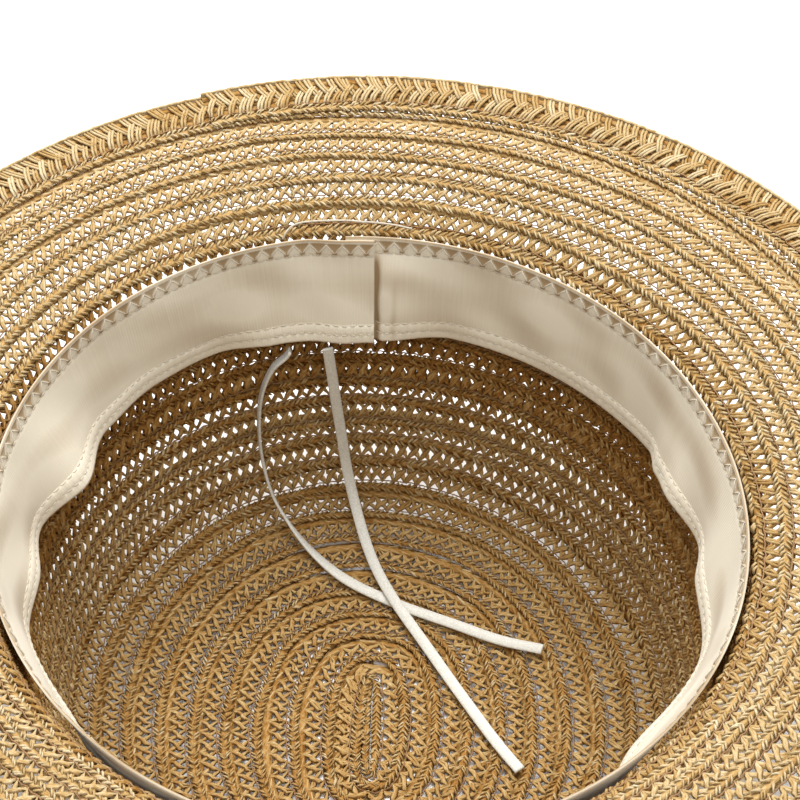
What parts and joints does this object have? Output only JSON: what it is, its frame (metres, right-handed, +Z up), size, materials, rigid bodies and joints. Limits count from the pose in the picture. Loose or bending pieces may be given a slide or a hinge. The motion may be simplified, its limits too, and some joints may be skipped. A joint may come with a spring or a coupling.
{
  "type": "straw boater hat",
  "caption": "Openwork straw hat with a low oval crown, a wide upturned brim, an inner ribbon sweatband and loose flat draw tapes, resting on its crown.",
  "frame": {"origin": "on the table that the crown lies on, under the middle of the brim", "axes": "+Z up, out of the head opening; +Y towards the back of the hat, where the sweatband has its seam; +X to the right, seen from the front"},
  "size_m": [0.2666, 0.2804, 0.098],
  "materials": {
    "straw": "knitted paper-straw braid, matt with a slight sheen",
    "ribbon": "cream ribbed ribbon, matt",
    "tape": "white woven flat tape, soft sheen"
  },
  "bodies": {
    "root": {"crown_tip": "straw", "crown_side": "straw", "brim": "straw", "rim_braid": "straw", "sweatband": "ribbon", "draw_tape_left": "tape", "draw_tape_right": "tape"}
  },
  "joints": []
}
